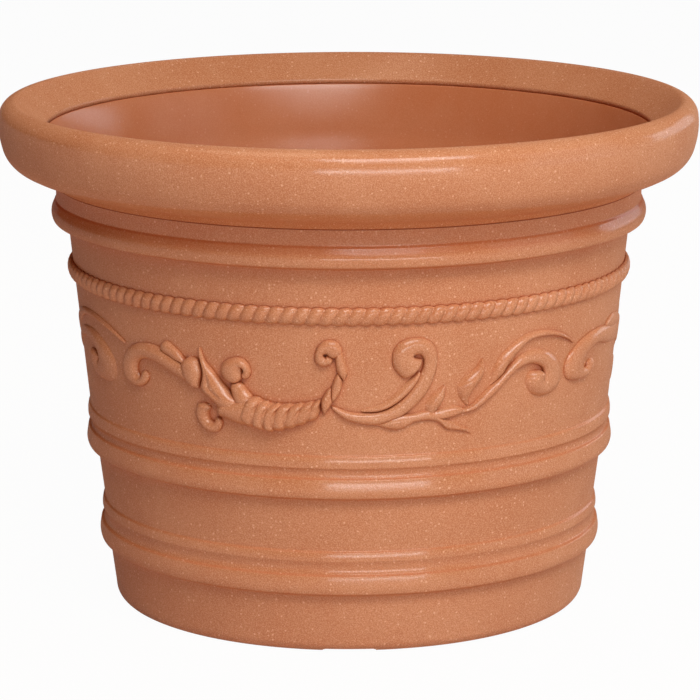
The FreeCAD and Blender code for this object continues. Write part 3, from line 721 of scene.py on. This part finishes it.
class PLANTER_OT_pot_shell(bpy.types.Operator):
    """Turned pot with its floor, drain holes and the channels under the foot"""

    bl_idname = "planter.pot_shell"
    bl_label = "Pot shell"

    def execute(self, context):
        sizes = context.scene.planter_sizes
        steps = sizes.turn_steps
        outside = section_path(POT_OUTSIDE)
        path = rounded(np.concatenate([outside[:-1], section_path(POT_INSIDE)]), sizes.edge_round / MM)
        kept = thinned(path)
        points = turned_points(path[kept], steps)
        self.cut_channels(points)
        faces = grid_faces(len(kept), steps, close_columns=True)
        piece = new_piece("pot_shell", points, faces, [outer_clay(), inner_clay()])
        self.fill_floor(piece.data, steps, len(kept))
        first_inside = np.searchsorted(kept, len(outside) - LIP_POINTS)
        index = np.zeros(len(piece.data.polygons), dtype=np.int32)
        index[first_inside * steps:(len(kept) - 1) * steps] = 1
        centres = np.zeros(len(piece.data.polygons) * 3, dtype=np.float32)
        piece.data.polygons.foreach_get("center", centres)
        floor = np.arange(len(index)) >= (len(kept) - 1) * steps
        index[floor & (centres[2::3] > (FLOOR_UNDER + FLOOR_SLACK) * MM)] = 1
        piece.data.polygons.foreach_set("material_index", index)
        return {"FINISHED"}

    def cut_channels(self, points):
        """Lifts the foot ring into a shallow drain channel for each hole."""
        for turn in range(DRAIN_COUNT):
            angle = DRAIN_TURN * turn
            across = points[..., 0] * math.cos(angle) + points[..., 1] * math.sin(angle)
            along = points[..., 0] * math.sin(angle) - points[..., 1] * math.cos(angle)
            share = np.clip((CHANNEL_HALF + 0.5 * CHANNEL_EDGE - np.abs(across)) / CHANNEL_EDGE, 0.0, 1.0)
            lift = CHANNEL_TOP * share * share * (3.0 - 2.0 * share)
            low = (along > 0.0) & (points[..., 2] < lift)
            points[..., 2] = np.where(low, lift, points[..., 2])

    def fill_floor(self, mesh, steps, rows):
        """Closes the middle of the floor round its drain holes."""
        shell = bmesh.new()
        shell.from_mesh(mesh)
        shell.verts.ensure_lookup_table()
        rings = {}
        edges = {
            FLOOR_UNDER: list(shell.verts)[:steps],
            FLOOR_TOP: list(shell.verts)[(rows - 1) * steps:],
        }
        for level, edge in edges.items():
            border = [shell.edges.get((edge[k], edge[(k + 1) % steps])) for k in range(steps)]
            rings[level] = []
            for turn in range(DRAIN_COUNT):
                middle = Vector((math.cos(DRAIN_TURN * turn), math.sin(DRAIN_TURN * turn), 0.0))
                ring = []
                for k in range(HOLE_STEPS):
                    angle = 2.0 * math.pi * k / HOLE_STEPS
                    way = Vector((math.cos(angle), math.sin(angle), 0.0))
                    spot = middle * DRAIN_REACH + way * DRAIN_RADIUS
                    ring.append(shell.verts.new((spot.x * MM, spot.y * MM, level * MM)))
                for k in range(HOLE_STEPS):
                    border.append(shell.edges.new((ring[k], ring[(k + 1) % HOLE_STEPS])))
                rings[level].append(ring)
            up = 1.0 if level == FLOOR_TOP else -1.0
            bmesh.ops.triangle_fill(shell, use_beauty=True, edges=border, normal=(0.0, 0.0, up))
        for low, high in zip(rings[FLOOR_UNDER], rings[FLOOR_TOP]):
            for k in range(HOLE_STEPS):
                after = (k + 1) % HOLE_STEPS
                shell.faces.new((low[k], low[after], high[after], high[k]))
        bmesh.ops.recalc_face_normals(shell, faces=shell.faces)
        for face in shell.faces:
            face.smooth = True
        for edge in shell.edges:
            if len(edge.link_faces) == 2 and edge.calc_face_angle(0.0) > math.radians(SHARP_EDGE):
                edge.smooth = False
        shell.to_mesh(mesh)
        shell.free()


class PLANTER_OT_rim_collar(bpy.types.Operator):
    """Rolled rim with its lip on the top edge of the neck"""

    bl_idname = "planter.rim_collar"
    bl_label = "Rim collar"

    def execute(self, context):
        sizes = context.scene.planter_sizes
        outside = rounded(section_path(RIM_OUTSIDE), RIM_ROUND)
        inside = rounded(section_path(RIM_INSIDE), RIM_ROUND)
        path = np.concatenate([outside[thinned(outside)], inside[thinned(inside)][:-1]])
        points = turned_points(path, sizes.turn_steps)
        faces = grid_faces(len(path), sizes.turn_steps, close_rows=True, close_columns=True)
        new_piece("rim_collar", points, faces, [outer_clay()])
        return {"FINISHED"}


class PLANTER_OT_rope_band(bpy.types.Operator):
    """Rope of slanting lumps under the upper ring"""

    bl_idname = "planter.rope_band"
    bl_label = "Rope band"

    def execute(self, context):
        sizes = context.scene.planter_sizes
        lumps = sizes.rope_lumps
        columns = lumps * ROPE_COLUMNS
        angle = np.linspace(0.0, 2.0 * math.pi, columns, endpoint=False)[None, :]
        sweep = np.radians(np.linspace(-90.0, 90.0, ROPE_SECTIONS))[:, None]
        across = np.sin(sweep)
        phase = lumps * angle / (2.0 * math.pi) - ROPE_SLANT * across
        swell = np.abs(np.sin(math.pi * phase)) ** ROPE_SWELL
        half = 0.5 * ROPE_HEIGHT * (ROPE_CREASE_WIDTH + ROPE_LUMP_WIDTH * swell)
        proud = sizes.rope_proud / MM * (ROPE_CREASE_LIFT + ROPE_LUMP_LIFT * swell)
        height = ROPE_FOOT + 0.5 * ROPE_HEIGHT + half * across
        lift = proud * np.cos(sweep) ** ROPE_ROUND
        lift[[0, -1]] = -ROPE_BED
        radius = wall_radius(height) + lift
        points = np.stack([radius * np.sin(angle), -radius * np.cos(angle), height], -1)
        faces = grid_faces(len(sweep), columns, close_rows=True, close_columns=True)
        new_piece("rope_band", points, faces, [relief_clay()])
        return {"FINISHED"}


def spline_through(values, places, wanted):
    """Natural cubic spline through columns of values at given places."""
    values = np.asarray(values, dtype=float)
    count = len(places)
    gap = np.diff(places)
    system = np.zeros((count, count))
    right = np.zeros((count, values.shape[1]))
    system[0, 0] = system[-1, -1] = 1.0
    for i in range(1, count - 1):
        system[i, i - 1:i + 2] = gap[i - 1], 2.0 * (gap[i - 1] + gap[i]), gap[i]
        right[i] = 6.0 * ((values[i + 1] - values[i]) / gap[i] - (values[i] - values[i - 1]) / gap[i - 1])
    bend = np.linalg.solve(system, right)
    spot = np.clip(np.searchsorted(places, wanted, side="right") - 1, 0, count - 2)
    h = gap[spot][:, None]
    a = (places[spot + 1] - wanted)[:, None] / h
    b = 1.0 - a
    inner = (a ** 3 - a) * bend[spot] + (b ** 3 - b) * bend[spot + 1]
    return a * values[spot] + b * values[spot + 1] + inner * h * h / 6.0


def wall_radius(height):
    """Radius of the tapered wall at a height."""
    return WALL_FOOT_RADIUS + (height - WALL_FOOT_HEIGHT) * WALL_SLOPE


def on_wall(angle, height, lift):
    """Points lifted off the tapered wall along its normal."""
    lean = math.hypot(1.0, WALL_SLOPE)
    radius = wall_radius(height) + lift / lean
    return np.stack([radius * np.sin(angle), -radius * np.cos(angle), height - lift * WALL_SLOPE / lean], -1)


def draft(turn):
    """Share of the depth that draws from a mould parted at the two sides."""
    face = np.minimum(np.abs(np.cos(turn)) / DRAFT_FULL, 1.0)
    return DRAFT_LEAST + (1.0 - DRAFT_LEAST) * face * face * (3.0 - 2.0 * face)


def own_turn(angles, start, span, marks, own):
    """Where angles of the drawn repeat lie in a repeat with its own start and span, in radians."""
    share = (angles - DRAWN_START) / DRAWN_SPAN
    return np.radians(start + span * (np.interp(share, marks, own) + share - np.clip(share, 0.0, 1.0)))


def view_matrix():
    """Place and turn of the camera of the front view."""
    tilt = Euler((math.radians(90.0 - VIEW_TILT), 0.0, 0.0)).to_matrix().to_4x4()
    return Matrix.Translation(VIEW_EYE) @ tilt @ Matrix.Rotation(math.radians(VIEW_ROLL), 4, "Z")


def wall_spots(sheet, spots):
    """Degrees round the wall and heights where it lies behind points of a sheet."""
    corner = SHEET_CORNERS[sheet]
    right = corner[0] + spots[:, 0] / SHEET_SCALE - 0.5 * VIEW_PIXELS
    up = 0.5 * VIEW_PIXELS - corner[1] - spots[:, 1] / SHEET_SCALE
    view = view_matrix()
    eye = np.array(view.translation) / MM
    way = np.stack([right, up, np.full(len(spots), -VIEW_FOCUS)], 1) @ np.array(view.to_3x3()).T
    cone = wall_radius(eye[2])
    a = (way[:, :2] ** 2).sum(1) - (WALL_SLOPE * way[:, 2]) ** 2
    b = way[:, :2] @ eye[:2] - WALL_SLOPE * cone * way[:, 2]
    c = (eye[:2] ** 2).sum() - cone ** 2
    near = (-b - np.sqrt(np.maximum(b * b - a * c, 0.0))) / a
    hit = eye + near[:, None] * way
    return np.degrees(np.arctan2(hit[:, 0], -hit[:, 1])), hit[:, 2]


def horn_lumps():
    """Shapes of the lumps between the creases of the horn, each a little wider than its gap."""
    shapes = []
    for one, two, depth in zip(HORN_CREASES, HORN_CREASES[1:], LUMP_DEPTHS):
        one, two = np.array(one, dtype=float), np.array(two, dtype=float)
        spread = LUMP_OVERLAP * (two - one)
        rows = np.column_stack([one - spread, two + spread, depth * np.array(LUMP_SWELL)])
        shapes.append(("B", (0, 0), rows))
    return shapes


def raised_points(name, sheet, softness, rows, place, depth_share):
    """Vertices of one raised shape as rows of sections from edge to edge."""
    drawn = np.array(rows, dtype=float)
    first, first_level = wall_spots(sheet, drawn[:, 0:2])
    second, second_level = wall_spots(sheet, drawn[:, 2:4])
    first, second = own_turn(first, *place), own_turn(second, *place)
    level = 0.5 * (first_level + second_level)
    ground = np.stack([0.5 * (first + second) * wall_radius(level), level], 1)
    places = np.concatenate([[0.0], np.cumsum(np.hypot(*np.diff(ground, axis=0).T))])
    length = places[-1]
    outer = np.hypot(np.diff(first) * wall_radius(first_level[1:]), np.diff(first_level)).sum()
    count = max(RELIEF_LEAST, int(max(length, outer) / RELIEF_GAP))
    ease = 0.5 - 0.5 * np.cos(np.linspace(0.0, math.pi, count))
    share = RELIEF_EVEN * np.linspace(0.0, 1.0, count) + (1.0 - RELIEF_EVEN) * ease
    along = share * length
    columns = np.column_stack([first, first_level, second, second_level, drawn[:, 4]])
    run = spline_through(columns, places, along)
    turn, height = 0.5 * (run[:, 0] + run[:, 2]), 0.5 * (run[:, 1] + run[:, 3])
    half_turn, half_height = 0.5 * (run[:, 2] - run[:, 0]), 0.5 * (run[:, 3] - run[:, 1])
    deep = np.maximum(run[:, 4], RELIEF_SHALLOW) * depth_share * draft(turn)
    half = np.hypot(half_turn * wall_radius(height), half_height)

    close = np.ones(count)
    for ends, width in ((along, half[0]), (length - along, half[-1])):
        near = np.minimum(ends / min(max(width, END_LEAST), END_MOST * length), 1.0)
        close *= np.maximum(np.sqrt(np.clip(1.0 - (1.0 - near) ** 2, 0.0, 1.0)), END_OPEN)

    u = np.sin(0.5 * math.pi * np.linspace(-1.0, 1.0, RELIEF_COLUMNS))[None, :]
    soft = np.where(u < 0.0, softness[0], softness[1])
    rise = (1.0 - np.abs(u) ** (RISE_INNER - SOFT_INNER * soft)) ** (RISE_OUTER + SOFT_OUTER * soft)
    reach = close[:, None] * u * (1.0 + SOFT_REACH * soft)
    lift = (deep * close)[:, None] * rise
    if name in GROOVE:
        spot, width, cut, begin, end = GROOVE[name]
        there = np.clip(GROOVE_FADE * np.minimum(share - begin, end - share), 0.0, 1.0)
        lift *= 1.0 - cut * there[:, None] * np.exp(-((u - spot) / width) ** 2)

    bed = np.full((count, 1), -RELIEF_BED)
    lift = np.concatenate([bed, lift, bed], 1)
    reach = np.concatenate([reach[:, :1], reach, reach[:, -1:]], 1)
    turns = turn[:, None] + reach * half_turn[:, None]
    heights = height[:, None] + reach * half_height[:, None]
    return on_wall(turns, heights, lift)


class PLANTER_OT_festoon(bpy.types.Operator):
    """Three repeats of scrolls, leaves and a twisted horn on the wall"""

    bl_idname = "planter.festoon"
    bl_label = "Festoon"

    def execute(self, context):
        depth_share = context.scene.planter_sizes.relief_scale
        rest = 0.5 * (360.0 - DRAWN_SPAN)
        for repeat, marks, own in REPEATS:
            span = DRAWN_SPAN if repeat == 1 else rest
            start = DRAWN_START + (0.0 if repeat == 1 else DRAWN_SPAN + rest * (repeat - 2))
            for name, shapes in STROKES.items():
                points, faces = [], []
                for sheet, softness, edges in list(shapes) + (horn_lumps() if name == "horn" else []):
                    place = (start, span, marks, own)
                    grid = raised_points(name, sheet, softness, edges, place, depth_share)
                    rows, columns = grid.shape[:2]
                    first = sum(map(len, points))
                    faces += grid_faces(rows, columns, close_columns=True, first=first).tolist()
                    faces.append(list(range(first, first + columns)))
                    last = first + (rows - 1) * columns
                    faces.append(list(range(last + columns - 1, last - 1, -1)))
                    points.append(grid.reshape(-1, 3))
                node_name = "festoon_%d_%s" % (repeat, name)
                new_piece(node_name, np.concatenate(points), faces, [relief_clay()])
        return {"FINISHED"}


class PLANTER_OT_drain_plugs(bpy.types.Operator):
    """Rubber plugs with a ribbed stem and a knob to pull"""

    bl_idname = "planter.drain_plugs"
    bl_label = "Drain plugs"

    def execute(self, context):
        rubber = shared_material("plug_rubber", rubber_material)
        path = rounded(section_path(PLUG_OUTLINE, PLUG_STEP), PLUG_ROUND, PLUG_STEP)
        path = path[thinned(path, PLUG_BEND, PLUG_RUN)]
        path[[0, -1], 0] = PLUG_TIP
        for index in range(DRAIN_COUNT):
            angle = DRAIN_TURN * index
            points = turned_points(path, PLUG_STEPS)
            points += (DRAIN_REACH * math.cos(angle), DRAIN_REACH * math.sin(angle), FLOOR_TOP)
            faces = grid_faces(len(path), PLUG_STEPS, close_columns=True).tolist()
            faces.append(list(range(PLUG_STEPS - 1, -1, -1)))
            faces.append(list(range((len(path) - 1) * PLUG_STEPS, len(path) * PLUG_STEPS)))
            name = "drain_plug_%d" % (index + 1)
            new_piece(name, points, faces, [rubber], body=name + "_body")
        return {"FINISHED"}


class PLANTER_OT_stage(bpy.types.Operator):
    """Pale floor, soft studio lamps, faint light all round and the camera"""

    bl_idname = "planter.stage"
    bl_label = "Stage"

    def execute(self, context):
        self.floor()
        self.world(context.scene)
        for lamp in LAMPS:
            self.softbox(*lamp)
        self.camera(context.scene)
        context.scene.view_settings.view_transform = "Standard"
        return {"FINISHED"}

    def floor(self):
        """Pale floor that is nearly white when seen directly."""
        material, tree = blank_material("floor_pale")
        links = tree.links
        place = tree.nodes.new("ShaderNodeTexCoord").outputs["Object"]
        noise = node(tree, "ShaderNodeTexNoise", Scale=3.0, Detail=2.0)
        links.new(place, noise.inputs["Vector"])
        paint = node(tree, "ShaderNodeBsdfDiffuse")
        tone = colour_mix(tree, noise.outputs["Fac"], *GROUND_TONES)
        links.new(tone, paint.inputs["Color"])
        white = node(tree, "ShaderNodeEmission", Strength=1.0)
        white.inputs["Color"].default_value = (*WHITE, 1.0)
        seen = self.seen_directly(tree, GROUND_WHITE)
        mix = node(tree, "ShaderNodeMixShader")
        links.new(seen, mix.inputs["Fac"])
        links.new(paint.outputs["BSDF"], mix.inputs[1])
        links.new(white.outputs["Emission"], mix.inputs[2])
        out = node(tree, "ShaderNodeOutputMaterial")
        links.new(mix.outputs["Shader"], out.inputs["Surface"])
        mesh = bpy.data.meshes.new("floor")
        signs = ((-1, -1), (1, -1), (1, 1), (-1, 1))
        corners = [(x * GROUND_HALF, y * GROUND_HALF, 0.0) for x, y in signs]
        mesh.from_pydata(corners, [], [(0, 1, 2, 3)])
        mesh.materials.append(material)
        floor = bpy.data.objects.new("floor", mesh)
        floor.location.z = -GROUND_DROP
        # Keeps the painted shade of hollows from seeing the floor.
        floor.visible_shadow = False
        bpy.context.scene.collection.objects.link(floor)

    def seen_directly(self, tree, share):
        """That share for rays from the camera or by gloss and glass, nothing for others."""
        path = tree.nodes.new("ShaderNodeLightPath")
        total = path.outputs["Is Camera Ray"]
        for name in ("Is Glossy Ray", "Is Transmission Ray"):
            most = tree.nodes.new("ShaderNodeMath")
            most.operation = "MAXIMUM"
            tree.links.new(total, most.inputs[0])
            tree.links.new(path.outputs[name], most.inputs[1])
            total = most.outputs[0]
        return product(tree, total, share)

    def world(self, scene):
        """Faint white light from all round."""
        world = bpy.data.worlds.new("studio")
        world.use_nodes = True
        tree = world.node_tree
        tree.nodes.clear()
        soft = node(tree, "ShaderNodeBackground", Strength=WORLD_LIGHT)
        soft.inputs["Color"].default_value = (*WHITE, 1.0)
        out = node(tree, "ShaderNodeOutputWorld")
        tree.links.new(soft.outputs["Background"], out.inputs["Surface"])
        scene.world = world

    def softbox(self, name, azimuth, elevation, distance, size, power, tint):
        """Soft lamp turned to the middle of the planter."""
        light = bpy.data.lights.new(name, "AREA")
        light.shape = "RECTANGLE"
        light.size, light.size_y = size
        light.energy = power
        light.color = tint
        lamp = bpy.data.objects.new(name, light)
        a, e = math.radians(azimuth), math.radians(elevation)
        way = Vector((math.sin(a) * math.cos(e), -math.cos(a) * math.cos(e), math.sin(e)))
        lamp.location = Vector(LAMP_TARGET) + way * distance
        lamp.rotation_euler = (-way).to_track_quat("-Z", "Y").to_euler()
        lamp.visible_camera = False
        bpy.context.scene.collection.objects.link(lamp)

    def camera(self, scene):
        """Camera of the front view."""
        data = bpy.data.cameras.new("camera")
        data.sensor_fit = "HORIZONTAL"
        data.sensor_width = SENSOR_WIDTH
        data.lens = VIEW_FOCUS * data.sensor_width / VIEW_PIXELS
        data.clip_end = SIGHT_END
        eye = bpy.data.objects.new("camera", data)
        eye.matrix_world = view_matrix()
        scene.collection.objects.link(eye)
        scene.camera = eye


class PLANTER_PT_panel(bpy.types.Panel):
    """The planter's sizes, colours and pieces"""

    bl_idname = "PLANTER_PT_panel"
    bl_label = "Round Planter"
    bl_space_type = "VIEW_3D"
    bl_region_type = "UI"
    bl_category = "Planter"

    def draw(self, context):
        for group in (context.scene.planter_sizes, context.scene.planter_colours):
            for key in group.__annotations__:
                self.layout.prop(group, key)
        for operator in OPERATORS:
            self.layout.operator(operator.bl_idname)


OPERATORS = (
    PLANTER_OT_pot_shell,
    PLANTER_OT_rim_collar,
    PLANTER_OT_rope_band,
    PLANTER_OT_festoon,
    PLANTER_OT_drain_plugs,
    PLANTER_OT_stage,
)
CLASSES = (PlanterSizes, PlanterColours) + OPERATORS + (PLANTER_PT_panel,)


def register():
    """Makes the classes and the scene's settings known."""
    for item in CLASSES:
        bpy.utils.register_class(item)
    bpy.types.Scene.planter_sizes = bpy.props.PointerProperty(type=PlanterSizes)
    bpy.types.Scene.planter_colours = bpy.props.PointerProperty(type=PlanterColours)


def unregister():
    """Takes the classes and the settings away."""
    del bpy.types.Scene.planter_colours
    del bpy.types.Scene.planter_sizes
    for item in reversed(CLASSES):
        bpy.utils.unregister_class(item)


def main():
    """Builds the planter and its stage, after making its settings known."""
    register()
    bpy.ops.planter.pot_shell()
    bpy.ops.planter.rim_collar()
    bpy.ops.planter.rope_band()
    bpy.ops.planter.festoon()
    bpy.ops.planter.drain_plugs()
    bpy.ops.planter.stage()


if __name__ == "__main__":
    main()
